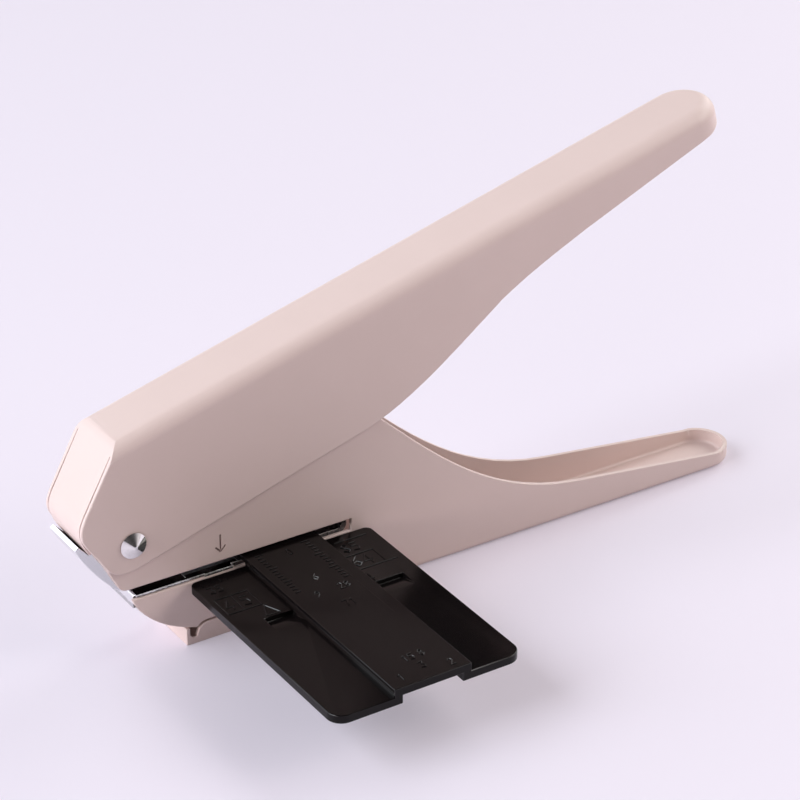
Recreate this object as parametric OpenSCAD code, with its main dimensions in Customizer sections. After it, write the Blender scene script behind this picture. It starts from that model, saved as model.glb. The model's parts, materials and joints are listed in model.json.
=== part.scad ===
// Desk punch that cuts one mushroom-shaped hole for disc binding.
// Origin: on the table under the punch axis, in the middle of the width.
// +X runs back along the base, +Y to the far side, +Z up. Millimetres.

/* [Base] */
// Outer width of the base channel
base_w = 11.4; // [10.6:0.1:14]
// Thickness of the pressed steel sheet
sheet = 0.8; // [0.6:0.05:1]
// From the punch axis back to the rear end of the base
base_back = 116.9; // [108:0.5:135]
// Height of the rim at the rear end of the base
rim_h = 3.4; // [2.6:0.1:5]
// Height of the cheeks beside the punch
cheek_h = 37.5; // [36:0.25:39]
// Outer radius of the bend along the bottom
base_bend = 1.4; // [1.1:0.1:2]
// Floor of the base starts this far behind the punch axis
floor_x = 33.4; // [33:0.1:40]
// Length of the arrow pressed into the near wall
arrow_l = 3.5; // [3:0.1:4]
// Width of the lines of this arrow
arrow_w = 0.34; // [0.25:0.01:0.5]
// Depth of this arrow
arrow_deep = 0.2; // [0.1:0.05:0.3]

/* [Paper throat] */
// Front of the lower jaw lies this far in front of the punch axis
nose_x = 17; // [16.5:0.1:17.6]
// Height of the top face of the die leg
die_top = 13.5; // [12.5:0.1:15]
// Height of the throat between the two legs
throat = 1.4; // [1.3:0.05:1.8]
// Thickness of the die frame strip
strip_t = 1.1; // [0.9:0.05:1.3]
// The die leg is turned down this far at the nose
nose_drop = 2.8; // [2:0.1:3.4]
// The plate in front of the nose reaches this far in front of the punch axis
plate_x = 27; // [26:0.1:28]
// Height of the front end of this plate
plate_z = 25.6; // [25:0.1:26]
// Thickness of the ears along both sides of this plate
plate_ear = 0.8; // [0.6:0.05:1]
// Wall slot reaches this far behind the punch axis
slot_back = 27.2; // [26.9:0.1:29]
// Wall slot opens this far above and below the throat
slot_play = 0.3; // [0.2:0.05:0.5]
// Edges of the lower leg reach over the walls up to this far from the middle
edge_half = 5.45; // [5:0.05:5.5]

/* [Lever] */
// Pivot lies this far in front of the punch axis
pivot_x = 17; // [16:0.1:18]
// Height of the pivot above the table
pivot_z = 24.6; // [24:0.1:26]
// Tilt of the lever at rest, in degrees
lever_tilt = 15.2; // [14:0.1:17]
// Downward travel of the lever, in degrees
lever_travel = 13.5; // [11:0.1:13.5]
// Top of the lever above its pivot
lever_top = 19.7; // [19:0.1:22]
// From the pivot back to the rear end of the lever
lever_back = 134.8; // [125:0.5:150]
// Outer radius of the bends along the top
roof_bend = 2.8; // [1.8:0.1:4]
// Gap between a base wall and a lever wall
side_gap = 0.3; // [0.25:0.01:0.5]
// Width of the slit on each side of the nose flap
slit = 0.2; // [0.15:0.01:0.4]

/* [Pivot] */
// Diameter of the pivot pin
pin_d = 3; // [2.4:0.1:3.6]
// Diameter of the head of the pivot pin
pin_head_d = 4.9; // [4.2:0.1:6]
// Height of the head of the pivot pin
pin_head_h = 1.1; // [0.7:0.1:1.4]
// Height of the rim under the cone of that head
pin_rim = 0.15; // [0.1:0.05:0.3]
// Outer diameter of the spacer between the base walls
spacer_d = 6; // [5:0.1:8]
// Outer diameter of the thin washers
washer_d = 7; // [5.5:0.1:8]
// Thickness of the thin washers
washer_t = 0.2; // [0.1:0.01:0.22]

/* [Punch] */
// Width of the round head of the hole
hole_w = 6; // [5.2:0.1:6.4]
// Width of the stem of the hole
stem_w = 3; // [2.4:0.1:3.6]
// Stem of the punch reaches this far behind its axis
stem_x = 5.3; // [5:0.1:5.6]
// Punch tip stays this far above the underside of the upper leg
tip_lift = 0.2; // [0.1:0.05:0.4]
// Height of the mushroom part of the punch
blade_h = 4.8; // [4:0.1:4.9]
// Diameter of the round shank
shank_d = 5; // [4.4:0.1:5.4]
// Height of the guide bush on the upper leg
bush_h = 4; // [3.4:0.1:4.2]
// Diameter of the cap on the punch
cap_d = 8.6; // [7.8:0.1:9]
// Thickness of the cap
cap_t = 1.5; // [1.3:0.1:1.8]
// Depth of the die block below the die face
die_h = 4; // [2.5:0.1:5]
// Length of the die block in the window of the die leg
die_l = 10.5; // [10:0.1:11]
// Width of the die block in the window of the die leg
die_w = 7.8; // [7.2:0.1:8.2]

/* [Spring] */
// Diameter of the spring wire
wire_d = 0.8; // [0.5:0.05:0.85]
// Mean diameter of the punch spring
spring_d = 7; // [6.6:0.1:7.4]
// Number of curls of the punch spring
spring_curls = 4.5; // [3:0.5:4.5]
// Thickness of the spring seat
seat_t = 0.6; // [0.4:0.05:0.8]

/* [Press bar] */
// Diameter of the bar that presses the cap
bar_d = 4; // [3.4:0.1:4.4]
// Diameter of the riveted ends of the bar
bar_end_d = 2.4; // [1.6:0.1:2.6]
// Thickness of the bracket that carries the bar
bracket_t = 1; // [0.8:0.05:1.2]
// Height of the bar above the pivot at half travel
bar_rise = 6; // [5.7:0.1:6.3]

/* [Chip tray] */
// Front of the tray lies this far in front of the punch axis
tray_front = 6.9; // [6.2:0.1:7.4]
// Height of the side flanges of the tray
tray_h = 3.8; // [3.4:0.1:4]
// Height of the dip between the lip and each side flange
tray_dip = 1.4; // [1:0.1:1.8]
// Gap between the tray and the base walls above it
tray_gap = 0.35; // [0.3:0.05:0.5]
// Outer side flanges end this far behind the punch axis
flange_back = 27; // [24:0.1:27.4]
// Tray pin lies this far behind the punch axis
tray_pin_x = 30.4; // [30:0.1:31]
// Height of the tray pin above the table
tray_pin_z = 2.6; // [2.4:0.1:3]
// Diameter of the tray pin
tray_pin_d = 1.6; // [1.2:0.1:2]

/* [Guide board] */
// Width of the board along the base
board_l = 37; // [34:0.5:40]
// Left edge of the board lies this far in front of the punch axis
board_front = 6.4; // [5:0.1:8]
// Outer edge of the board lies this far from the middle
board_out = 55.3; // [45:0.5:70]
// Thickness of the board
board_t = 1.6; // [1.4:0.1:2]
// Gap between the board and the base wall
board_gap = 0.5; // [0.4:0.05:1]
// Step between the wings and the raised rail
rail_step = 1.6; // [1.4:0.1:1.6]
// Left side of the rail, where the paper edge stops
rail_x = 4.9; // [4.6:0.1:5.1]
// Width of the raised rail
rail_w = 15.2; // [13.5:0.1:15.4]
// Width of the side walls under the rail
rail_wall = 1.7; // [1.2:0.1:2.5]
// Steps of the notches beside the rail lie this far from the middle
notch_out = 23; // [18:0.1:30]
// Length of the notches, from the step out to the level of the wing
notch_l = 4.4; // [3:0.1:8]
// Depth of the notches at the step
notch_deep = 1; // [0.4:0.05:1.1]
// Left edge of the left notch
notch_x0 = -0.9; // [-2.5:0.1:2]
// Right edge of the right notch
notch_x1 = 27.2; // [24:0.1:28]
// Radius of the outer corners of the board
board_round = 2.8; // [1:0.1:5]
// Radius of the inner corners of the board
inner_round = 1.4; // [0.8:0.1:3]
// Travel of the board away from the base
board_travel = 7; // [4:0.1:8]
// Diameter of the stop rivet in the tongue
stop_d = 1.6; // [1.2:0.1:2]
// Thickness of the leaf on the tongue
leaf_t = 0.2; // [0.1:0.01:0.22]
// Length of this leaf
leaf_l = 17.2; // [15:0.1:17.6]
// Width of this leaf
leaf_w = 6; // [5:0.1:8]

/* [Hidden] */
$fn = 48;
// Play between fixed pieces, and between a pin and its bore
fit = 0.05;
// Running play beside a sliding piece
slide_fit = 0.1;
base_half = base_w / 2;
base_in = base_half - sheet;
lever_in = base_half + side_gap;
lever_half = lever_in + sheet;
frame_half = base_in - slide_fit;
leg_bottom = die_top - strip_t;
leg_top = die_top + throat;
bush_z = leg_top + strip_t;
seat_z = bush_z + bush_h;
spring_z = seat_z + seat_t;
slot_bottom = die_top - 2 * slot_play;
slot_top = leg_top + slot_play;
pivot = [-pivot_x, 0, pivot_z];
bore_d = pin_d + 2 * fit;
// Tall enough to cut right through
far = 200;

pink = [0.85, 0.72, 0.70];
chrome = [0.82, 0.83, 0.85];
steel = [0.60, 0.61, 0.64];
black = [0.10, 0.10, 0.11];

// Points of a cubic curve from a to d
function curve(a, b, c, d, n = 8) = [for (i = [0 : n]) let (t = i / n, s = 1 - t)
    s * s * s * a + 3 * s * s * t * b + 3 * s * t * t * c + t * t * t * d];
// Points of an arc round c
function arc(c, r, a0, a1, n = 10) = [for (i = [0 : n]) let (a = a0 + (a1 - a0) * i / n)
    c + r * [cos(a), sin(a)]];

// Stands an outline drawn in X and Z upright and spreads it over the width
module side(half) {
    rotate([90, 0, 0]) linear_extrude(2 * half, center = true) children();
}
// Pin along Y, from y0 to y1
module pin_y(d, y0, y1) {
    translate([0, y1, 0]) rotate([90, 0, 0]) cylinder(d = d, h = y1 - y0);
}
// Places children in the frame of the lever at rest
module at_lever() {
    translate(pivot) rotate([0, -lever_tilt, 0]) children();
}

// Half of a channel section, with a rounded corner at its closed side
module half_section(half, depth, bend) {
    square([half, depth - bend]);
    square([half - bend, depth]);
    translate([half - bend, depth - bend]) circle(bend);
}
// Long channel body, closed side up, with a half round end at x_end
module channel(half, depth, bend, x_front, x_end) {
    x_mid = x_end - half;
    translate([x_front, 0, 0]) rotate([90, 0, 90]) linear_extrude(x_mid - x_front) {
        half_section(half, depth, bend);
        mirror([1, 0]) half_section(half, depth, bend);
    }
    translate([x_mid, 0, 0]) rotate([0, 0, -90]) rotate_extrude(angle = 180)
        half_section(half, depth, bend);
}

// Rim, cheeks, slot and jaws of the base seen from the side
jaw = curve([-nose_x, slot_bottom - 0.3], [-nose_x + 1.1, slot_bottom - 3.5],
    [-nose_x + 5.2, 5.4], [-tray_front + 0.8, 3.6], 12);
arch_z = tray_h + tray_gap;
arch_x = -tray_front + 2;
ear_r = 6.1;
ear_c = [-pivot_x, pivot_z];
tail_r = tray_pin_x - flange_back - tray_gap;
arrow_x = 0.45;
base_side = concat(
    [[-nose_x, slot_bottom]], jaw,
    curve([arch_x, 3.2], [arch_x + 0.7, 3.2], [arch_x + 0.8, arch_z], [arch_x + 2.2, arch_z]),
    arc([tray_pin_x, tray_pin_z], tail_r, 180 - asin((arch_z - tray_pin_z) / tail_r),
        180 + asin(tray_pin_z / tail_r), 6),
    [[base_back, 0], [base_back, rim_h], [base_back - 5.4, rim_h]],
    curve([77.5, rim_h + 4.3], [58, rim_h + 6.8], [46, 22.4], [33.5, cheek_h - 3.5], 14),
    curve([33.5, cheek_h - 3.5], [30.4, cheek_h - 0.6], [27, cheek_h], [22, cheek_h]),
    curve([-5, cheek_h], [-11, cheek_h], [-15.5, pivot_z + 9.4],
        ear_c + ear_r * [cos(125), sin(125)]),
    arc(ear_c, ear_r, 130, 205),
    curve([-19.7, 16.5], [-19.3, 15.6], [-18.8, slot_top], [-17.8, slot_top], 5),
    [[slot_back, slot_top], [slot_back, slot_bottom]]);

// Arrow that shows where the hole falls, with its tip at the origin
module arrow() {
    translate([-arrow_w / 2, arrow_w]) square([arrow_w, arrow_l - arrow_w]);
    for (a = [-42, 42]) rotate(a) translate([-arrow_w / 2, 0]) square([arrow_w, arrow_l * 0.43]);
}

module base_shell() {
    top = cheek_h + 1;
    in_h = top - sheet;
    color(pink) difference() {
        union() {
            difference() {
                intersection() {
                    side(base_half + 1) polygon(base_side);
                    translate([0, 0, top]) mirror([0, 0, 1])
                        channel(base_half, top, base_bend, -40, base_back);
                }
                translate([0, 0, top]) mirror([0, 0, 1])
                    channel(base_in, in_h, base_bend - sheet, -41, base_back - sheet);
                translate([-41, -base_in, -1]) cube([floor_x + 41, 2 * base_in, sheet + 3]);
            }
            // Skin that closes the jaw between the two walls
            intersection() {
                side(base_in) polygon(concat([for (p = jaw) p + [0.2, -0.1]],
                    [for (i = [len(jaw) - 1 : -1 : 0]) jaw[i] + [0.2 + sheet * 0.8, sheet * 0.6]]));
                translate([-far, -far, 0]) cube([2 * far, 2 * far, die_top - nose_drop - fit]);
            }
        }
        translate(pivot) pin_y(bore_d, -far, far);
        translate([tray_pin_x, 0, tray_pin_z]) pin_y(tray_pin_d + 2 * fit, -far, far);
        translate([arrow_x, -base_half, slot_top + 1.9]) side(arrow_deep) arrow();
    }
}

// Side of the lever, in its own frame with the pivot at the origin
flap_u = 8.1;
flap_w = 5.8;
flap_low = 2;
flap_tip = concat(
    curve([-flap_u, flap_w], [-flap_u, 4.6], [-flap_u + 0.2, 3.2], [-flap_u + 0.55, flap_low], 6),
    [[-flap_u + 0.55 + sheet, flap_low], [-flap_u + sheet, flap_w]]);
lever_side = concat(
    curve([5.2, lever_top], [4.2, lever_top], [3.3, lever_top - 0.25], [2.4, lever_top - 1.13], 5),
    curve([-6.2, lever_top - 10], [-7.4, lever_top - 11.3], [-flap_u, 7.4], [-flap_u, flap_w]),
    curve([-flap_u + 0.1, 4.9], [-7.6, 3.4], [-6.8, 1.4], [-6.2, -0.6], 5),
    curve([-6, -1.4], [-5.2, -4.3], [-3.2, -5], [0, -5]),
    [[48, -4.1]],
    curve([50, -3.9], [59, -2.9], [68, 1], [77, 4.5], 10),
    curve([80, 5.7], [86, 7.6], [91, 8.5], [100, 10]),
    [[lever_back + 1, 15.1], [lever_back + 1, lever_top]]);
// Inner face of the nose flap
flap_in = [[3.5 + 0.43 * sheet, lever_top - sheet],
    [-6.2 + 0.72 * sheet, lever_top - 10 - 0.7 * sheet],
    [-flap_u + sheet, 7.1], [-flap_u + sheet, -9]];

// Lever without the free tip of its flap, in its own frame
module lever_body() {
    difference() {
        intersection() {
            side(lever_half + 1) polygon(lever_side);
            translate([0, 0, lever_top - 40]) channel(lever_half, 40, roof_bend, -20, lever_back);
        }
        intersection() {
            translate([0, 0, lever_top - 40]) channel(lever_in, 40 - sheet, roof_bend - sheet,
                -20, lever_back - sheet);
            side(lever_in + 1) polygon(concat(flap_in, [[far, -9], [far, lever_top]]));
        }
        // Open between the walls where the tip of the flap hangs
        translate([-flap_u - 1, -lever_in, -9]) cube([flap_u, 2 * lever_in, 9 + flap_w]);
        for (s = [-1, 1]) translate([0, s * (lever_in - slit / 2), 0]) side(slit / 2)
            polygon([[2.6, lever_top - 2.1], [-4.9, lever_top - 10.9], [-6.6, 6.5], [-6.6, 0],
                [-12, 0], [-12, 12], [0.9, lever_top - 1.5]]);
    }
}

module lever_shell() {
    color(pink) difference() {
        at_lever() {
            lever_body();
            side(lever_in - slit) polygon(flap_tip);
        }
        translate(pivot) pin_y(bore_d, -far, far);
    }
}

// Outline of the hole, head to the front and stem to the back
module mushroom(play = 0) {
    intersection() {
        circle(d = hole_w + 2 * play);
        translate([-far, -far / 2]) square([far + play, far]);
    }
    translate([-1, -stem_w / 2 - play]) square([1 + stem_x + play, stem_w + 2 * play]);
}
// Hole that guides the punch and lets its round shank follow
module punch_hole() {
    mushroom(fit);
    circle(d = shank_d + 4 * fit);
}

fold_r = throat / 2;
fold_c = [slot_back - 0.4 - fold_r - strip_t, die_top + fold_r];
// Outer and inner side of the curved plate, from its foot up to its end
plate_0 = [-nose_x - 3.35, leg_top + 1.3];
plate_1 = [-plate_x, plate_z];
plate_out = curve(plate_0, [-nose_x - 5.4, leg_top + 3.3], [-nose_x - 8.6, plate_z - 3.2], plate_1);
plate_end = plate_1 + [0.75, 0.42];
plate_in = curve(plate_end, [-nose_x - 7.8, plate_z - 2.5], [-nose_x - 4.7, leg_top + 4.2],
    [-nose_x - 2.5, bush_z + 0.9]);
ear_side = concat(plate_out, [plate_end, [-nose_x - 7.55, plate_z - 1.45]],
    curve([-nose_x - 7, plate_z - 1.25], [-nose_x - 5.6, plate_z - 1.7], [-nose_x - 3.6, bush_z + 4.6],
        [-nose_x - 2.5, bush_z + 0.5], 6));
nose_f = -nose_x + 0.4;
nose_bend = 0.7;
nose_low = die_top - nose_drop;
frame_side = concat(
    [[nose_f + strip_t, leg_bottom], [nose_f + strip_t, nose_low], [nose_f, nose_low]],
    arc([nose_f + nose_bend, die_top - nose_bend], nose_bend, 180, 90, 5),
    arc(fold_c, fold_r, -90, 90),
    curve([-nose_x - 0.4, leg_top], [-nose_x - 2.1, leg_top], [-nose_x - 2.75, leg_top + 0.5], plate_0, 6),
    plate_out, plate_in,
    curve([-nose_x - 2.2, bush_z + 0.55], [-nose_x - 1.7, bush_z + 0.1], [-nose_x - 1.2, bush_z],
        [-nose_x - 0.2, bush_z], 5),
    arc(fold_c, fold_r + strip_t, 90, -90));
tab_x = [-2.8, 2.8];
edge_x0 = -16.2;
edge_gap = 0.14;
die_x = -6.2;
rivet_d = 1.8;
rivet_x = [-6.7, 9.3];
stop_x = rail_x + 10;
leaf_end = fold_c[0] - 0.9;
leaf_rivet_x = leaf_end - 1.6;

module flange(x0, x1, half, gap) {
    for (s = [-1, 1]) translate([x0, s > 0 ? frame_half - 1 : -half, slot_bottom + gap])
        cube([x1 - x0, half - frame_half + 1, die_top - slot_bottom - gap]);
}

module die_frame() {
    color(chrome) difference() {
        union() {
            side(frame_half) polygon(frame_side);
            for (s = [-1, 1]) translate([0, s * (frame_half - plate_ear / 2), 0])
                side(plate_ear / 2) polygon(ear_side);
            flange(tab_x[0], tab_x[1], base_half, fit);
            flange(edge_x0, tab_x[0] + 0.1, edge_half, edge_gap);
        }
        translate([die_x - fit, -die_w / 2 - fit, leg_bottom - 1])
            cube([die_l + 2 * fit, die_w + 2 * fit, strip_t + 1.2]);
        translate([0, 0, leg_bottom - 1]) linear_extrude(strip_t + 1.2) mushroom(2 * fit);
        translate([0, 0, leg_top - 0.2]) linear_extrude(strip_t + 1) punch_hole();
        for (x = concat(rivet_x, [leaf_rivet_x])) translate([x, 0, leg_top - 0.2])
            cylinder(d = rivet_d + 2 * fit, h = 2 * strip_t);
        translate([stop_x, 0, 0]) cylinder(d = stop_d + 2 * fit, h = far);
    }
}

module die_block() {
    color(steel) difference() {
        union() {
            translate([die_x, -die_w / 2, die_top - die_h]) cube([die_l, die_w, die_h + fit]);
            translate([die_x - 1, -frame_half + 0.3, die_top - die_h])
                cube([stem_x + 1.6 - die_x, 2 * frame_half - 0.6, die_h - strip_t]);
        }
        linear_extrude(far) mushroom(fit);
    }
}

module punch_bush() {
    color(steel) difference() {
        translate([rivet_x[0] - 2, -frame_half + 0.3, bush_z])
            cube([rivet_x[1] - rivet_x[0] + 4, 2 * frame_half - 0.6, bush_h]);
        linear_extrude(far) punch_hole();
        for (x = rivet_x) translate([x, 0, 0]) cylinder(d = rivet_d + 2 * fit, h = far);
    }
}

// Low head that closes a rivet
module rivet_head(d) {
    cylinder(d1 = 1.6 * d, d2 = 1.2 * d, h = 0.5);
}

module bush_rivets() {
    color(steel) for (x = rivet_x) translate([x, 0, leg_top]) {
        cylinder(d = rivet_d, h = strip_t + bush_h + 0.5);
        translate([0, 0, strip_t + bush_h]) rivet_head(rivet_d);
    }
}

// Place of the press bar at rest, seen from the pivot and in the frame of the lever
bar_swing = lever_travel / 2;
bar_xz = [pivot_x * cos(bar_swing) - bar_rise * sin(bar_swing),
    pivot_x * sin(bar_swing) + bar_rise * cos(bar_swing)];
bar_u = bar_xz[0] * cos(lever_tilt) + bar_xz[1] * sin(lever_tilt);
bar_w = bar_xz[1] * cos(lever_tilt) - bar_xz[0] * sin(lever_tilt);

cap_top = pivot_z + bar_xz[1] - bar_d / 2 - fit;
cap_z = cap_top - cap_t;
screw_d = 2.2;
screw_head_d = 3.8;
screw_head_h = 0.9;
screw_l = 4;

module punch() {
    tip = leg_top + tip_lift;
    color(steel) difference() {
        union() {
            translate([0, 0, tip]) linear_extrude(blade_h) mushroom();
            translate([0, 0, tip + blade_h - 0.5])
                cylinder(d = shank_d, h = cap_z - tip - blade_h + 0.5);
        }
        translate([0, 0, cap_z - screw_l]) cylinder(d = screw_d + 2 * fit, h = far);
    }
}

module punch_cap() {
    color(steel) difference() {
        translate([0, 0, cap_z]) cylinder(d = cap_d, h = cap_t);
        cylinder(d = screw_d + 2 * fit, h = far);
        translate([0, 0, cap_top - screw_head_h - 0.1])
            cylinder(d = screw_head_d + 2 * fit, h = far);
    }
}

module cap_screw() {
    color(chrome) {
        translate([0, 0, cap_z - screw_l + 0.2]) cylinder(d = screw_d, h = screw_l + cap_t - 0.5);
        difference() {
            translate([0, 0, cap_top - screw_head_h - 0.1])
                cylinder(d = screw_head_d, h = screw_head_h);
            translate([-far / 2, -0.25, cap_top - 0.5]) cube([far, 0.5, 1]);
        }
    }
}

module spring_seat() {
    color(steel) translate([0, 0, seat_z]) difference() {
        cylinder(d = spring_d + wire_d + 0.8, h = seat_t);
        translate([0, 0, -1]) cylinder(d = shank_d + 2 * fit, h = seat_t + 2);
    }
}

// One unbroken wire: rings along a helix, straight for one diameter at both ends
wire_rings = 8 * spring_curls;
wire_z0 = spring_z + wire_d / 2 + 0.02;
wire_z1 = cap_z - wire_d / 2 - 0.02;
function on_helix(t) = let (a = 360 * spring_curls * t)
    [spring_d / 2 * cos(a), spring_d / 2 * sin(a), wire_z0 + (wire_z1 - wire_z0) * t];
function along(t) = let (v = on_helix(t + 0.0005) - on_helix(t - 0.0005)) v / norm(v);
wire_path = concat([on_helix(0) - wire_d * [0, 1, 0]],
    [for (i = [0 : wire_rings]) on_helix(i / wire_rings)],
    [on_helix(1) + wire_d * [along(1)[0], along(1)[1], 0]]);
wire_gap = min([for (i = [0 : wire_rings - 6]) for (j = [i + 6 : wire_rings])
    norm(on_helix(i / wire_rings) - on_helix(j / wire_rings))]) - wire_d;

module punch_spring() {
    echo(wire_gap = wire_gap);
    n = len(wire_path);
    function way(i) = let (v = wire_path[min(i + 1, n - 1)] - wire_path[max(i - 1, 0)]) v / norm(v);
    function ring(i) = let (d = way(i), s = cross(d, [0, 0, 1]), a = s / norm(s), b = cross(a, d))
        [for (k = [0 : 5]) wire_path[i] + wire_d / 2 * (cos(60 * k) * a + sin(60 * k) * b)];
    color(steel) polyhedron(
        points = [for (i = [0 : n - 1]) each ring(i)],
        faces = concat([[for (k = [0 : 5]) k]], [[for (k = [5 : -1 : 0]) 6 * (n - 1) + k]],
            [for (i = [0 : n - 2]) for (k = [0 : 5]) let (a = 6 * i + k, b = 6 * i + (k + 1) % 6)
                each [[a, a + 6, b], [b, a + 6, b + 6]]]));
}

bracket_half = base_in - 0.4;
bracket_w = lever_top - sheet - slide_fit;
bracket_l = 9;

module press_bracket() {
    color(steel) at_lever() difference() {
        union() {
            for (s = [-1, 1]) translate([0, s * (bracket_half - bracket_t / 2), 0]) side(bracket_t / 2) {
                translate([bar_u, bar_w]) circle(d = bar_d - 0.4);
                polygon([[bar_u - bar_d / 2 + 0.2, bar_w], [bar_u - bracket_l / 2, bracket_w],
                    [bar_u + bracket_l / 2, bracket_w], [bar_u + bar_d / 2 - 0.2, bar_w]]);
            }
            translate([bar_u - bracket_l / 2, -bracket_half, bracket_w - bracket_t])
                cube([bracket_l, 2 * bracket_half, bracket_t]);
        }
        translate([bar_u, 0, bar_w]) pin_y(bar_end_d + 2 * fit, -far, far);
    }
}

module press_bar() {
    color(chrome) at_lever() translate([bar_u, 0, bar_w]) {
        pin_y(bar_d, -bracket_half + bracket_t + fit, bracket_half - bracket_t - fit);
        pin_y(bar_end_d, -bracket_half, bracket_half);
    }
}

module pivot_pin() {
    y = lever_half + slide_fit;
    color(chrome) translate(pivot) {
        pin_y(pin_d, -y, y);
        for (s = [-1, 1]) rotate([s * -90, 0, 0]) translate([0, 0, y]) {
            cylinder(d = pin_head_d, h = pin_rim);
            translate([0, 0, pin_rim])
                cylinder(d1 = pin_head_d, d2 = pin_head_d / 8, h = pin_head_h - pin_rim);
        }
    }
}

module pivot_spacer() {
    color(steel) translate(pivot) difference() {
        pin_y(spacer_d, -base_in + fit, base_in - fit);
        pin_y(bore_d, -far, far);
    }
}

module pivot_washers() {
    mid = base_half + side_gap / 2;
    color([0.9, 0.9, 0.88]) translate(pivot) for (s = [-1, 1]) difference() {
        pin_y(washer_d, s * mid - washer_t / 2, s * mid + washer_t / 2);
        pin_y(bore_d, -far, far);
    }
}

tray_in = base_in - 0.3;
ear_w = 0.8;
tray_x0 = -tray_front;
flange_x = tray_x0 + 2.1;
lip_h = tray_h - 0.4;
tray_side = concat([[tray_x0, 0], [tray_x0, lip_h], [tray_x0 + 0.1, lip_h], [tray_x0 + sheet, tray_dip + 0.5],
        [tray_x0 + 1.3, tray_dip]],
    curve([flange_x, tray_dip], [flange_x + 0.2, tray_h - 1], [flange_x + 1, tray_h], [flange_x + 2.6, tray_h]),
    [[flange_back, tray_h], [flange_back, 0]]);

module chip_tray() {
    tail = tray_pin_x + 0.6;
    color(pink) difference() {
        union() {
            side(base_half) polygon(tray_side);
            translate([tray_x0, -base_half, 0]) cube([flange_x - tray_x0 + 1, base_half * 2, sheet]);
            translate([tray_x0, -base_half, 0]) cube([sheet, base_half * 2, lip_h]);
            translate([flange_back - 1, -tray_in, 0]) cube([tail - flange_back + 1, 2 * tray_in, sheet]);
            for (s = [-1, 1]) translate([0, s * (tray_in - ear_w / 2), 0]) side(ear_w / 2) {
                translate([tray_pin_x, tray_pin_z]) circle(2.2);
                translate([flange_back - 4, 0]) square([tray_pin_x - flange_back + 4.6, tray_pin_z]);
            }
        }
        difference() {
            translate([tray_x0 + sheet, -base_in, sheet])
                cube([flange_back - tray_x0, base_in * 2, tray_h]);
            for (s = [-1, 1]) translate([0, s * (tray_in - ear_w / 2), 0]) side(ear_w / 2)
                translate([flange_back - 4, 0]) square([far, far]);
        }
        translate([tray_pin_x, 0, tray_pin_z]) pin_y(tray_pin_d + 2 * fit, -far, far);
    }
}

module tray_pin() {
    color(steel) translate([tray_pin_x, 0, tray_pin_z]) {
        pin_y(tray_pin_d, -base_half - 0.1, base_half + 0.1);
        for (s = [-1, 1]) translate([0, s * (base_half + 0.2), 0]) pin_y(tray_pin_d + 0.9, -0.15, 0.15);
    }
}

tongue_top = leg_top - leaf_t - slide_fit;
tongue_z = die_top + slide_fit;
wing_z = tongue_top - rail_step;
board_x1 = board_l - board_front;
board_in = base_half + board_gap;
rail_x1 = rail_x + rail_w;
tongue_end = stop_d / 2 + slide_fit + board_travel + 1.2;
board_plan = concat(arc([-board_front + board_round, -board_out + board_round], board_round, 180, 270),
    arc([board_x1 - board_round, -board_out + board_round], board_round, 270, 360),
    arc([board_x1 - inner_round, -board_in - inner_round], inner_round, 0, 90),
    arc([-board_front + inner_round, -board_in - inner_round], inner_round, 90, 180));
notch_up = 0.5;
notch_side = [[-notch_out, wing_z + notch_up],
    [-notch_out - notch_l * (1 + notch_up / notch_deep), wing_z + notch_up],
    [-notch_out, wing_z - notch_deep]];

module notch(x0, x1) {
    translate([x0, 0, 0]) rotate([90, 0, 90]) linear_extrude(x1 - x0) polygon(notch_side);
}

module guide_board() {
    color(black) difference() {
        union() {
            translate([0, 0, wing_z - board_t]) linear_extrude(board_t) polygon(board_plan);
            translate([rail_x, -board_out, wing_z - board_t])
                cube([rail_w, board_out - board_in, board_t + rail_step]);
            translate([rail_x, -board_in - 1, tongue_z])
                cube([rail_w, board_in + 1 + tongue_end, tongue_top - tongue_z]);
        }
        notch(notch_x0, rail_x);
        notch(rail_x1, notch_x1);
        // Hollow under the rail
        translate([rail_x + rail_wall, -board_out - 1, wing_z - board_t - 1])
            cube([rail_w - 2 * rail_wall, board_out - board_in + 2, tongue_top - wing_z + 1]);
        // Room for the punch, over the whole travel
        translate([rail_x - 1, -stem_w / 2 - 0.9, 0])
            cube([stem_x - rail_x + 1.5, far, far]);
        // Slot round the stop rivet
        for (y = [0, board_travel]) translate([stop_x, y, 0]) cylinder(d = stop_d + 2 * slide_fit, h = far);
        translate([stop_x - stop_d / 2 - slide_fit, 0, 0])
            cube([stop_d + 2 * slide_fit, board_travel, far]);
    }
}

module guide_stop() {
    color(steel) translate([stop_x, 0, leg_bottom]) {
        cylinder(d = stop_d, h = bush_z - leg_bottom);
        translate([0, 0, bush_z - leg_bottom]) rivet_head(stop_d);
    }
}

module guide_leaf() {
    color(steel) translate([0, 0, leg_top - leaf_t]) linear_extrude(leaf_t) difference() {
        translate([leaf_end - leaf_l, -leaf_w / 2]) square([leaf_l, leaf_w]);
        translate([stop_x, 0]) circle(d = stop_d + 0.6);
        translate([leaf_rivet_x, 0]) circle(d = rivet_d + 2 * fit);
    }
}

module leaf_rivet() {
    color(steel) translate([leaf_rivet_x, 0, leg_top - leaf_t]) {
        cylinder(d = rivet_d, h = leaf_t + strip_t);
        translate([0, 0, leaf_t + strip_t]) rivet_head(rivet_d);
    }
}

base_shell();
lever_shell();
die_frame();
die_block();
punch_bush();
bush_rivets();
punch();
punch_cap();
cap_screw();
punch_spring();
spring_seat();
press_bracket();
press_bar();
pivot_pin();
pivot_spacer();
pivot_washers();
chip_tray();
tray_pin();
guide_board();
guide_stop();
guide_leaf();
leaf_rivet();
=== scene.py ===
import bpy
import bmesh
import json
import math
import random
from mathutils import Matrix, Vector

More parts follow.
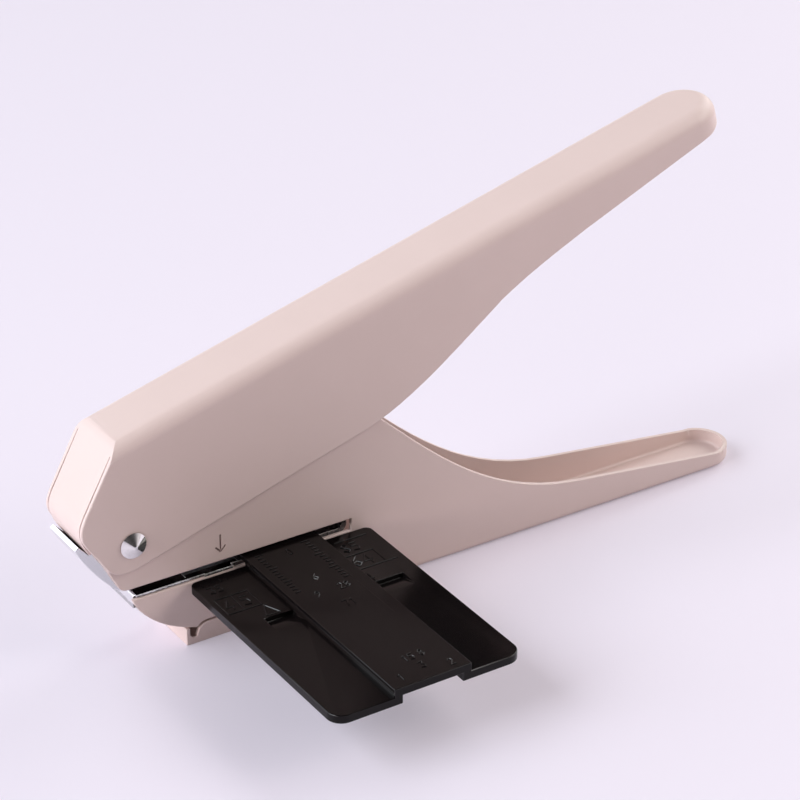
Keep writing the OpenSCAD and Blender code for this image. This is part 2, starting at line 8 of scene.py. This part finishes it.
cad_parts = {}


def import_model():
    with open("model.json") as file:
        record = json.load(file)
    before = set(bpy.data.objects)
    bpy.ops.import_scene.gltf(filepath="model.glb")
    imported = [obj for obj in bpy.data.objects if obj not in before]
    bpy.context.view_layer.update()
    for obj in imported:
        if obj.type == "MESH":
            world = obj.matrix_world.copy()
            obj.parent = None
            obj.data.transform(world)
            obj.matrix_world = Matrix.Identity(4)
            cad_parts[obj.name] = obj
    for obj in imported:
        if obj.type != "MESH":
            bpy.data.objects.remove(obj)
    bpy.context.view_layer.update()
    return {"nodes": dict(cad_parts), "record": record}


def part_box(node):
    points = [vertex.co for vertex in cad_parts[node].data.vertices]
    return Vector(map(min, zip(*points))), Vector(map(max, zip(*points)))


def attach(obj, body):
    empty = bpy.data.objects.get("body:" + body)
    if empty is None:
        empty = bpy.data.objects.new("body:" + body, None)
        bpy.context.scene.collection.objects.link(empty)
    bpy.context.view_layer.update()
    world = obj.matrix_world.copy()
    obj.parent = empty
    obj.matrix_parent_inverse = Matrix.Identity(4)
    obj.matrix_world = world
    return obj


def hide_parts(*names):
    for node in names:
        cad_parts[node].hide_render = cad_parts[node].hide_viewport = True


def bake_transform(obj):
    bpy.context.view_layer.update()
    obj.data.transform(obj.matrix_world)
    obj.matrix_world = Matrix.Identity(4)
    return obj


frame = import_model()
nodes = frame["nodes"]
record = frame["record"]
slot_of = {part["node"]: part["material_slot"] for part in record["subparts"]}
body_of = {node: body for body, row in record["behaviour"]["bodies"].items() for node in row}

# One millimetre in the unit of the scene. Places and sizes of the part below are in millimetres.
MM = 0.001


def corners(node):
    """The low and the high corner of the box round a node."""
    return [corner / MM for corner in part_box(node)]


# Axis of the lever, in the middle of its pin
PIVOT = sum(corners("pivot_pin"), Vector()) / 2

# Half widths of the lever and the base over their walls, and of the legs of the die frame
LEVER_HALF, BASE_HALF = corners("lever_shell")[1].y, corners("base_shell")[1].y
LEG_HALF = 4.8

# Top of the lower leg, and the height of the throat above it
LEG_TOP, THROAT = 13.5, 1.4

# Top face of the rail on the guide board, that of the wings beside it, and the sides of the rail
RAIL_TOP = corners("guide_board")[1].z
WING_TOP = RAIL_TOP - 1.6
RAIL_X0, RAIL_X1 = 4.9, 20.1

# Front of the chip tray
TRAY_FRONT = corners("chip_tray")[0].x

# Arrow pressed into the near wall of the base: its middle, how far it reaches, and its floor
ARROW_X, ARROW_Z, ARROW_REACH = 0.5, 19.0, 2.5
ARROW_FLOOR_Y = -5.5


# Node trees

class Tree:
    """A node tree with short ways to add nodes and to feed their inputs."""

    def __init__(self, owner):
        owner.use_nodes = True
        self.nodes = owner.node_tree.nodes
        self.links = owner.node_tree.links

    def add(self, kind, inputs, **settings):
        node = self.nodes.new(kind)
        for name, value in settings.items():
            setattr(node, name, value)
        for name, value in inputs.items():
            self.feed(node.inputs[name], value)
        return node

    def feed(self, socket, value):
        """Link an output to the input, or write a constant on it."""
        if isinstance(value, bpy.types.NodeSocket):
            self.links.new(value, socket)
        else:
            socket.default_value = value

    def math(self, operation, *values):
        return self.add("ShaderNodeMath", dict(enumerate(values)), operation=operation).outputs[0]

    def coordinate(self, kind):
        """The X, Y and Z outputs of one kind of texture coordinate."""
        source = self.add("ShaderNodeTexCoord", {}).outputs[kind]
        return self.add("ShaderNodeSeparateXYZ", {0: source}).outputs[:]


class Material(Tree):
    """A material on one Principled shader, with the few kinds of node that the looks need."""

    def __init__(self, name):
        self.mat = bpy.data.materials.new(name)
        super().__init__(self.mat)
        self.shader = self.nodes["Principled BSDF"]
        self.place = self.add("ShaderNodeTexCoord", {}).outputs["Object"]

    def shade(self, **values):
        """Feed inputs of the shader, each named with underscores for its spaces."""
        for name, value in values.items():
            self.feed(self.shader.inputs[name.replace("_", " ")], value)

    def moved(self, **inputs):
        """The place on the object, shifted by Location or stretched by Scale."""
        return self.add("ShaderNodeMapping", {"Vector": self.place, **inputs}).outputs["Vector"]

    def noise(self, scale, detail=2.0, roughness=0.5, stretch=None):
        place = self.place if stretch is None else self.moved(Scale=stretch)
        inputs = {"Vector": place, "Scale": scale, "Detail": detail, "Roughness": roughness}
        return self.add("ShaderNodeTexNoise", inputs).outputs["Fac"]

    def ramp(self, factor, *stops):
        """A colour or a grey level that runs from the first stop to the second."""
        node = self.add("ShaderNodeValToRGB", {"Fac": factor})
        for element, (position, level) in zip(node.color_ramp.elements, stops):
            element.position = position
            element.color = (*level, 1.0) if isinstance(level, tuple) else (level, level, level, 1.0)
        return node.outputs["Color"]

    def mix(self, factor, first, second):
        """The first colour where the factor is 0, the second where it is 1."""
        # Inputs 6 and 7 and output 2 of this node are the ones for colours
        node = self.add("ShaderNodeMix", {0: factor, 6: first, 7: second}, data_type="RGBA")
        return node.outputs[2]

    def bump(self, height, strength, distance, **under):
        """Bumps up to a distance high, on top of the Normal of other bumps where one is given."""
        inputs = {"Height": height, "Strength": strength, "Distance": distance * MM, **under}
        return self.add("ShaderNodeBump", inputs).outputs["Normal"]

    def within(self, coordinate, middle, reach):
        """1 where the coordinate lies within reach of the middle, else 0."""
        return self.math("COMPARE", coordinate, middle * MM, reach * MM)


# Materials

def pink_paint():
    """Satin paint baked onto the pressed sheet: a fine grain over slow waves, and painted shade on the
    floor of the pressed arrow.
    """
    arrow_shade = (0.34, 0.24, 0.22, 1.0)
    arrow_shade_depth = 0.12
    m = Material("pink_paint")
    x, y, z = m.coordinate("Object")
    # Painted shade: the floor of the arrow groove is darkened, standing in for the shade inside the groove.
    across = m.math("MULTIPLY", m.within(x, ARROW_X, ARROW_REACH), m.within(y, ARROW_FLOOR_Y, arrow_shade_depth))
    in_arrow = m.math("MULTIPLY", across, m.within(z, ARROW_Z, ARROW_REACH))
    paint = m.ramp(m.noise(90.0, 3.0), (0.30, (0.727, 0.577, 0.541)), (0.70, (0.741, 0.589, 0.553)))
    slow, fine = m.noise(700.0), m.noise(5200.0)
    waves = m.bump(slow, 0.25, 0.02)
    m.shade(Base_Color=m.mix(in_arrow, paint, arrow_shade), Specular_IOR_Level=0.5,
            Roughness=m.ramp(slow, (0.3, 0.36), (0.7, 0.42)), Normal=m.bump(fine, 0.25, 0.01, Normal=waves))
    return m.mat


def chrome():
    """Polished plate with rolled streaks, torn grey sides up to cut_top, and painted shade in the throat.
    """
    plate, throat_shade, dull = (0.86, 0.86, 0.87, 1.0), (0.27, 0.235, 0.23, 1.0), (0.45, 0.45, 0.45, 1.0)
    cut_top = 14.3
    throat_edge = 0.05
    m = Material("chrome")
    facing_y = m.coordinate("Normal")[1]
    z = m.coordinate("Object")[2]
    to_the_side = m.ramp(m.math("ABSOLUTE", facing_y), (0.80, 0.0), (0.92, 1.0))
    cut = m.math("MULTIPLY", to_the_side, m.math("LESS_THAN", z, cut_top * MM))
    # Painted shade: the chrome between the legs, in the throat, is darkened to a dull brown where shade
    # falls in the narrow slot.
    in_throat = m.within(z, LEG_TOP + THROAT / 2, THROAT / 2 + throat_edge)
    streak = m.noise(900.0, 3.0, stretch=(0.07, 1.0, 1.0))
    tear = m.noise(2600.0, 3.0, stretch=(1.0, 1.0, 0.15))
    torn = m.ramp(tear, (0.35, (0.10, 0.10, 0.10)), (0.62, (0.30, 0.29, 0.29)))
    polish = m.ramp(streak, (0.3, 0.12), (0.7, 0.19))
    rolled = m.bump(streak, 0.12, 0.01)
    m.shade(Base_Color=m.mix(in_throat, m.mix(cut, plate, torn), throat_shade), Metallic=1.0,
            Roughness=m.mix(cut, polish, dull), Normal=m.bump(tear, 0.25, 0.01, Normal=rolled))
    return m.mat


def steel():
    """Ground tool steel with fine grinding lines."""
    m = Material("steel")
    streak = m.noise(1500.0, 4.0, stretch=(0.08, 1.0, 1.0))
    m.shade(Base_Color=m.ramp(streak, (0.3, (0.42, 0.43, 0.45)), (0.7, (0.56, 0.57, 0.59))), Metallic=1.0,
            Roughness=m.ramp(streak, (0.3, 0.26), (0.7, 0.40)), Normal=m.bump(streak, 0.2, 0.01))
    return m.mat


def turned_pin():
    """Turned and plated rivet heads, with rings from the lathe round the pivot."""
    m = Material("turned_pin")
    from_pivot = m.moved(Location=-PIVOT * MM)
    inputs = {"Vector": from_pivot, "Scale": 900.0, "Distortion": 1.5, "Detail": 2.0}
    rings = m.add("ShaderNodeTexWave", inputs, wave_type="RINGS", rings_direction="Y").outputs["Fac"]
    stain = m.noise(1400.0, 3.0)
    m.shade(Base_Color=m.ramp(stain, (0.3, (0.78, 0.76, 0.75)), (0.7, (0.90, 0.88, 0.87))), Metallic=1.0,
            Roughness=m.ramp(stain, (0.3, 0.05), (0.7, 0.10)), Normal=m.bump(rings, 0.10, 0.004))
    return m.mat


def nylon():
    """Pale, slightly cloudy plastic."""
    m = Material("nylon")
    cloud = m.noise(900.0)
    m.shade(Base_Color=m.ramp(cloud, (0.3, (0.70, 0.69, 0.66)), (0.7, (0.78, 0.77, 0.74))),
            Roughness=m.ramp(cloud, (0.3, 0.44), (0.7, 0.55)))
    return m.mat


def black_plastic(name, specular):
    """Moulded black plastic with the fine grain of a spark-eroded tool."""
    m = Material(name)
    cloud, grain = m.noise(120.0), m.noise(4200.0, 3.0, 0.6)
    m.shade(Base_Color=m.ramp(cloud, (0.3, (0.0042, 0.0030, 0.0032)), (0.7, (0.0050, 0.0037, 0.0039))),
            Specular_IOR_Level=specular, Roughness=m.ramp(cloud, (0.3, 0.16), (0.7, 0.18)),
            Normal=m.bump(grain, 0.12, 0.006))
    return m.mat


def burr_steel():
    """Bright torn metal."""
    m = Material("burr_steel")
    spot = m.noise(3200.0)
    m.shade(Base_Color=m.ramp(spot, (0.35, (0.72, 0.71, 0.71)), (0.6, (0.96, 0.95, 0.95))), Metallic=1.0,
            Roughness=m.ramp(spot, (0.35, 0.45), (0.6, 0.30)))
    return m.mat


MATERIALS = {"pink_paint": pink_paint(), "chrome": chrome(), "steel": steel(), "nylon": nylon(),
             "black_plastic": black_plastic("black_plastic", 0.15)}
GLOSSY_EDGE = black_plastic("black_plastic_edge", 0.38)
TURNED_PIN = turned_pin()
for node, slot in slot_of.items():
    for holder in nodes[node].material_slots:
        holder.material = TURNED_PIN if node in ("pivot_pin", "tray_pin") else MATERIALS[slot]


# Rounded copies of the pressed and moulded shells. Pressing, casting and polishing leave
# small radii along the edges, and these catch the light.

def add_object(name, mesh, body, slot, material):
    """A new piece of the scene that moves with a body of the part."""
    piece = bpy.data.objects.new(name, mesh)
    bpy.context.scene.collection.objects.link(piece)
    mesh.materials.append(material)
    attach(piece, body)
    return piece


def clean_mesh(bm):
    """Join the triangles of the CAD mesh into the large faces that a bevel needs."""
    merge, sliver, flat = 0.02, 0.01, math.radians(0.6)
    bmesh.ops.remove_doubles(bm, verts=bm.verts, dist=merge * MM)
    bmesh.ops.dissolve_degenerate(bm, edges=bm.edges, dist=sliver * MM)
    bmesh.ops.dissolve_limit(bm, angle_limit=flat, verts=bm.verts, edges=bm.edges)


def cut_across(bm, x):
    """Split all faces at x. The turned normal at the end of a long face then reaches no further."""
    bmesh.ops.bisect_plane(bm, geom=bm.verts[:] + bm.edges[:] + bm.faces[:], dist=0.001 * MM,
                           plane_co=(x * MM, 0.0, 0.0), plane_no=(1.0, 0.0, 0.0))


def weigh_edges(bm, weigh):
    """Give each sharp edge its share of the bevel width. One that gets none stays sharp."""
    crease = math.radians(28.0)
    layer = bm.edges.layers.float.new("bevel_weight_edge")
    for face in bm.faces:
        face.smooth = True
    for edge in bm.edges:
        if len(edge.link_faces) == 2 and edge.calc_face_angle(0.0) >= crease:
            middle = (edge.verts[0].co + edge.verts[1].co) / (2 * MM)
            edge[layer] = weigh(middle, *(face.normal for face in edge.link_faces))
            edge.smooth = edge[layer] > 0.0


def rounded(node, width, weigh, segments=3, cut_x=None, edge_material=None):
    """Replace a node by a copy with bevelled edges. weigh(middle, normal, normal) says how much."""
    bm = bmesh.new()
    bm.from_mesh(nodes[node].data)
    clean_mesh(bm)
    if cut_x is not None:
        cut_across(bm, cut_x)
    weigh_edges(bm, weigh)
    mesh = bpy.data.meshes.new(node + "_round")
    bm.to_mesh(mesh)
    bm.free()
    piece = add_object(node + "_round", mesh, body_of[node], slot_of[node], MATERIALS[slot_of[node]])
    bevel = piece.modifiers.new("bevel", "BEVEL")
    bevel.width = width * MM
    bevel.segments = segments
    bevel.limit_method = "WEIGHT"
    bevel.use_clamp_overlap = False
    if edge_material is not None:
        mesh.materials.append(edge_material)
        bevel.material = 1
    normals = piece.modifiers.new("normals", "WEIGHTED_NORMAL")
    normals.keep_sharp = True
    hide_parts(node)


def wall_rim(a, b):
    """True between a flat wall of a shell and the narrow face along its edge."""
    flat, other = sorted((abs(a.y), abs(b.y)), reverse=True)
    return flat > 0.98 and other < 0.35


def near_pivot(p):
    """True under the heads of the pivot pin."""
    return math.hypot(p.x - PIVOT.x, p.z - PIVOT.z) < 3


def on_outside(p, half):
    """True on the outer face of a wall, the given half width from the middle of the part."""
    return abs(p.y) > half - 0.1


def lever_edges(p, a, b):
    """The rims of the walls, without the edges at the top of the flap, too short for a bevel."""
    top_of_flap = p.x < -16 and p.z > 41
    if top_of_flap or near_pivot(p) or not wall_rim(a, b):
        return 0.0
    return 1.0 if on_outside(p, LEVER_HALF) else 0.4


def base_edges(p, a, b):
    """The rims of the walls, without the arrow and the inside of the jaw, with edges too short."""
    in_arrow = abs(p.x - ARROW_X) < ARROW_REACH and p.y < -5 and abs(p.z - ARROW_Z) < ARROW_REACH
    inner_jaw = abs(p.y) < 5 and p.x < 0 and p.z < 9
    if in_arrow or inner_jaw or near_pivot(p) or not wall_rim(a, b):
        return 0.0
    return 1.0 if on_outside(p, BASE_HALF) else 0.6


def tray_edges(p, a, b):
    """All sharp edges, with a narrower bevel away from the front and the sides."""
    front = p.x < TRAY_FRONT + 0.4
    return 1.0 if front or on_outside(p, BASE_HALF) else 0.5


def board_edges(p, a, b):
    """All sharp edges, without the inner corner at the foot of the rail."""
    foot_of_rail = abs(p.z - WING_TOP) < 0.05 and min(abs(p.x - RAIL_X0), abs(p.x - RAIL_X1)) < 0.05
    return 0.0 if foot_of_rail else 1.0


def frame_edges(p, a, b):
    """All sharp edges, without those inside its front, too short for a bevel."""
    at_the_sides = abs(p.y) > LEG_HALF - 0.2
    inner_front = p.x < -16 and p.z < 14 and not at_the_sides
    if inner_front:
        return 0.0
    return 1.0 if at_the_sides else 0.6


rounded("lever_shell", 0.30, lever_edges, cut_x=-19.4)
rounded("base_shell", 0.25, base_edges)
rounded("chip_tray", 0.22, tray_edges)
rounded("guide_board", 0.18, board_edges, edge_material=GLOSSY_EDGE)
rounded("die_frame", 0.10, frame_edges, segments=2)


# A plain copy of the punch spring in place of its node

def spring():
    coils = bpy.data.objects.new("spring_coils", nodes["punch_spring"].data.copy())
    bpy.context.scene.collection.objects.link(coils)
    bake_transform(coils)
    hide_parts("punch_spring")


spring()


# Marks raised on the guide board: rulers, boxes and plain numbers, black on black

MARK_HEIGHT = 0.15
TICK_LINE, SHORT_LINE, BOX_LINE, BOLD_LINE = 0.16, 0.18, 0.22, 0.26

# Each digit as one line through points, 1 wide and 2 high
DIGITS = {
    "0": [(0, 1), (0.3, 0), (0.7, 0), (1, 1), (0.7, 2), (0.3, 2), (0, 1)],
    "1": [(0.2, 1.6), (0.55, 2), (0.55, 0)],
    "2": [(0, 1.6), (0.3, 2), (0.75, 2), (1, 1.5), (0, 0), (1, 0)],
    "3": [(0, 2), (1, 2), (0.5, 1.2), (1, 0.7), (0.7, 0), (0, 0.2)],
    "4": [(0.75, 0), (0.75, 2), (0, 0.6), (1, 0.6)],
    "5": [(1, 2), (0.1, 2), (0.1, 1.2), (0.8, 1.2), (1, 0.6), (0.7, 0), (0, 0.1)],
    "6": [(0.9, 2), (0.2, 1.3), (0, 0.6), (0.4, 0), (1, 0.5), (0.6, 1.1), (0.1, 0.9)],
    "7": [(0, 2), (1, 2), (0.4, 0)],
    "8": [(0.5, 1.1), (0.05, 1.6), (0.5, 2), (0.95, 1.6), (0.5, 1.1), (0, 0.5), (0.5, 0), (1, 0.5),
          (0.5, 1.1)],
    "9": [(0.1, 0), (0.8, 0.7), (1, 1.5), (0.5, 2), (0, 1.5), (0.5, 1), (0.95, 1.2)],
}
DIGIT_PITCH = 1.45

# Numbers on the wings: text, X, Y, size and line
WING_NUMBERS = [("4", -4.7, -17.6, 1.45, BOLD_LINE), ("5", -1.4, -17.6, 1.45, BOLD_LINE),
                ("35", -4.6, -11.4, 1.0, BOX_LINE), ("64", 21.4, -17.2, 1.5, BOLD_LINE),
                ("85", 22.2, -12.2, 1.3, 0.24), ("4", 20.6, -22.5, 1.4, BOLD_LINE)]

# Numbers on the rail, all of one size: text, X and Y
RAIL_NUMBERS = [("0", 12.15, -9.45), ("6", 11.65, -19.2), ("9", 9.15, -24.2), ("28", 13.9, -24.0),
                ("71", 11.9, -29.2), ("15", 10.9, -49.2), ("8", 14.15, -49.0), ("3", 12.4, -52.2),
                ("1", 7.4, -53.5), ("2", 16.9, -54.0)]
RAIL_DIGIT, RAIL_LINE = 0.85, 0.2


def stroke(bm, points, z, width, height=MARK_HEIGHT):
    """A raised line with a rounded back, on a face at z. Its foot sinks in a little."""
    back = [(-1.0, -0.03), (-0.55, 0.75), (0.0, 1.0), (0.55, 0.75), (1.0, -0.03)]
    for (x0, y0), (x1, y1) in zip(points, points[1:]):
        along = Vector((x1 - x0, y1 - y0, 0.0)).normalized() * (width / 2)
        across = Vector((-along.y, along.x, 0.0))
        start, end = Vector((x0, y0, z)) - along, Vector((x1, y1, z)) + along
        rows = []
        for side, up in back:
            lift = across * side + Vector((0.0, 0.0, height * up))
            slope = along * (0.5 * up)
            rows.append([bm.verts.new(p * MM) for p in (start + lift + slope, end + lift - slope)])
        for r0, r1 in zip(rows, rows[1:]):
            bm.faces.new((r0[0], r1[0], r1[1], r0[1]))
        bm.faces.new([r[0] for r in rows][::-1])
        bm.faces.new([r[1] for r in rows])
        bm.faces.new((rows[0][0], rows[0][1], rows[-1][1], rows[-1][0]))


def number(bm, text, x, y, z, size, width):
    for i, digit in enumerate(text):
        left = x + i * DIGIT_PITCH * size
        stroke(bm, [(left + px * size, y + py * size) for px, py in DIGITS[digit]], z, width)


def box_lines(bm, x0, y0, x1, y1):
    stroke(bm, [(x0, y0), (x1, y0), (x1, y1), (x0, y1), (x0, y0)], WING_TOP, BOX_LINE)


def rulers(bm):
    """Ticks 1 mm apart along both sides of the rail, every fifth one longer, and a fine line."""
    left, right, first, count = 6.6, 17.3, -7.0, 15
    fine_x, fine_end, fine_width, fine_height = 17.6, -36.0, 0.12, 0.06
    for i in range(count):
        y = first - i
        tick = 1.5 if i % 5 == 0 else 0.9
        stroke(bm, [(left, y), (left + tick, y)], RAIL_TOP, TICK_LINE)
        stroke(bm, [(right - tick, y), (right, y)], RAIL_TOP, TICK_LINE)
    stroke(bm, [(fine_x, first), (fine_x, fine_end)], RAIL_TOP, fine_width, fine_height)


def wing_marks(bm):
    """Boxes, a triangle, short lines and numbers on both wings."""
    box_top, left_foot, right_foot, divider = -13.4, -18.7, -18.2, -2.2
    box_lines(bm, -5.35, left_foot, 1.15, box_top)
    stroke(bm, [(divider, left_foot), (divider, box_top)], WING_TOP, BOX_LINE)
    stroke(bm, [(-0.1, -22.4), (1.25, -19.3), (2.6, -22.4), (-0.1, -22.4)], WING_TOP, BOLD_LINE)
    for x in (-4.8, -3.6, -2.4, -1.2, 0.0):
        stroke(bm, [(x, -7.6), (x, -8.6)], WING_TOP, SHORT_LINE)
    box_lines(bm, 20.5, right_foot, 26.9, box_top)
    stroke(bm, [(26.9, right_foot), (29.0, right_foot)], WING_TOP, BOX_LINE)
    stroke(bm, [(22.0, -8.4), (28.6, -8.4)], WING_TOP, SHORT_LINE)
    for text, x, y, size, width in WING_NUMBERS:
        number(bm, text, x, y, WING_TOP, size, width)


def board_marks():
    bm = bmesh.new()
    rulers(bm)
    wing_marks(bm)
    for text, x, y in RAIL_NUMBERS:
        number(bm, text, x, y, RAIL_TOP, RAIL_DIGIT, RAIL_LINE)
    mesh = bpy.data.meshes.new("board_marks")
    bm.to_mesh(mesh)
    bm.free()
    for face in mesh.polygons:
        face.use_smooth = True
    mesh.set_sharp_from_angle(angle=math.radians(50))
    add_object("board_marks", mesh, "board", "black_plastic", GLOSSY_EDGE)


board_marks()


# Burr that the shears left along the near top edge of the lower leg, and two scribed lines

def burr_sections():
    """Closed sections of the burr, each five points out from the edge and up, of a random size."""
    edge_x0, tab_x0, tab_x1, edge_x1 = -16.2, -2.8, 2.8, 14.0
    edge_y, tab_y = -5.45, -5.7
    outline = [(edge_x0, edge_y), (tab_x0, edge_y), (tab_x0, tab_y), (tab_x1, tab_y),
               (tab_x1, -LEG_HALF), (edge_x1, -LEG_HALF)]
    step = 0.13
    chance = random.Random(7)
    for start, end in zip(map(Vector, outline), map(Vector, outline[1:])):
        run = end - start
        out = Vector((run.y, -run.x)).normalized()
        count = max(2, int(run.length / step))
        for i in range(count):
            at = start + run * (i / count)
            # Nearly a third of the sections stay small, so that the burr looks torn
            grow = 0.12 if chance.random() < 0.3 else 0.4 + 0.6 * chance.random()
            off, up, low = 0.20 * grow, 0.04 + 0.08 * grow, 0.08 + 0.18 * chance.random()
            section = [(-0.10, -0.01), (-0.02, up), (off, up * 0.3), (off * 0.8, -low),
                       (-0.02, -low - 0.03)]
            yield [Vector((*(at + out * far), LEG_TOP + rise)) for far, rise in section]


def sheared_edge():
    scribed, scribed_from, scribed_height = [(-6.2, -3.4), (4.3, -3.7)], -4.7, 0.05
    bm = bmesh.new()
    rows = [[bm.verts.new(point * MM) for point in section] for section in burr_sections()]
    for r0, r1 in zip(rows, rows[1:]):
        for i in range(len(r0)):
            bm.faces.new((r0[i - 1], r0[i], r1[i], r1[i - 1]))
    bm.faces.new(rows[0][::-1])
    bm.faces.new(rows[-1])
    for x, y in scribed:
        stroke(bm, [(x, scribed_from), (x, y)], LEG_TOP, TICK_LINE, scribed_height)
    bmesh.ops.recalc_face_normals(bm, faces=bm.faces)
    mesh = bpy.data.meshes.new("sheared_edge")
    bm.to_mesh(mesh)
    bm.free()
    add_object("sheared_edge", mesh, "base", "chrome", burr_steel())


sheared_edge()


# Floor, world, lamps and camera. Their places are in metres.

def floor():
    """A pale floor that glows a little where the camera or a gloss sees it, but lights nothing."""
    half = 3.0
    glow = 0.185
    mesh = bpy.data.meshes.new("floor")
    square = [(-half, -half, 0), (half, -half, 0), (half, half, 0), (-half, half, 0)]
    mesh.from_pydata(square, [], [(0, 1, 2, 3)])
    piece = bpy.data.objects.new("floor", mesh)
    bpy.context.scene.collection.objects.link(piece)
    m = Material("floor")
    rays = m.add("ShaderNodeLightPath", {}).outputs
    seen = m.math("MAXIMUM", m.math("MAXIMUM", rays["Is Camera Ray"], rays["Is Glossy Ray"]),
                  rays["Is Transmission Ray"])
    m.shade(Base_Color=(0.668, 0.618, 0.690, 1.0), Roughness=0.42, Specular_IOR_Level=0.3,
            Emission_Color=(0.90, 0.84, 0.96, 1.0), Emission_Strength=m.math("MULTIPLY", seen, glow))
    mesh.materials.append(m.mat)


def world():
    """A studio that is pale along the horizon, each side at its own strength, and dim above."""
    left, right, front, back, above = 0.25, 1.5, 0.08, 1.1, 0.02
    studio = bpy.data.worlds.new("studio")
    tree = Tree(studio)
    x, y, z = tree.coordinate("Generated")
    total = 0.0
    for axis, sign, strength in ((x, -1.0, left), (x, 1.0, right), (y, -1.0, front), (y, 1.0, back)):
        toward = tree.math("MAXIMUM", tree.math("MULTIPLY", axis, sign), 0.0)
        part = tree.math("MULTIPLY", tree.math("MULTIPLY", toward, toward), strength)
        total = tree.math("ADD", total, part)
    limits = {"Value": z, "From Min": 0.06, "From Max": 0.32, "To Min": 1.0, "To Max": 0.0}
    fade = tree.add("ShaderNodeMapRange", limits, interpolation_type="SMOOTHSTEP").outputs[0]
    background = tree.nodes["Background"]
    tree.feed(background.inputs["Color"], (0.98, 0.91, 0.94, 1.0))
    tree.feed(background.inputs["Strength"], tree.math("ADD", tree.math("MULTIPLY", total, fade), above))
    bpy.context.scene.world = studio


def lamp(name, place, target, width, height, watts, tint):
    light = bpy.data.lights.new(name, "AREA")
    light.shape = "RECTANGLE"
    light.size, light.size_y = width, height
    light.energy = watts
    light.color = tint
    piece = bpy.data.objects.new(name, light)
    bpy.context.scene.collection.objects.link(piece)
    piece.location = place
    piece.rotation_euler = (Vector(target) - Vector(place)).to_track_quat("-Z", "Y").to_euler()


def camera():
    """The view of the photo, from its focal length in pixels, its two angles and its place."""
    focal_px, photo_px, sensor = 2785.0, 800.0, 36.0
    turn, tilt = math.radians(-32.6), math.radians(28.1)
    data = bpy.data.cameras.new("camera")
    data.sensor_width = sensor
    data.lens = sensor * focal_px / photo_px
    piece = bpy.data.objects.new("camera", data)
    bpy.context.scene.collection.objects.link(piece)
    back = Vector((math.sin(turn) * math.cos(tilt), -math.cos(turn) * math.cos(tilt), math.sin(tilt)))
    right = Vector((math.cos(turn), math.sin(turn), 0.0))
    view = Matrix((right, back.cross(right), back)).transposed().to_4x4()
    view.translation = Vector((-0.19787, -0.37399, 0.26987))
    piece.matrix_world = view
    bpy.context.scene.camera = piece


COOL, WARM, AMBER, WHITE = (0.95, 1.0, 1.06), (1.03, 0.98, 0.94), (1.06, 0.96, 0.92), (1.0, 1.0, 1.0)

floor()
world()

# Each lamp with its place, its target, its width and height, its watts and its tint
lamp("key", (-1.15, 0.15, 0.85), (0.03, 0, 0.03), 1.0, 1.0, 19.8, COOL)
lamp("back", (-0.30, 1.00, 0.85), (0.04, 0, 0.03), 0.8, 0.8, 2.6, COOL)
lamp("low back", (-0.60, 0.95, 0.42), (0.0, 0, 0.03), 1.1, 0.8, 2.6, COOL)
lamp("low left", (-1.10, -0.40, 0.24), (0.0, 0, 0.01), 0.6, 0.3, 3.3, AMBER)
lamp("right", (1.1, 0.25, 0.7), (0.06, 0, 0.03), 0.9, 0.9, 8.5, WHITE)
lamp("fill", (0.74, -0.52, 0.60), (0.09, 0, 0.02), 0.6, 0.6, 5.0, WARM)

camera()
bpy.context.scene.view_settings.view_transform = "Standard"
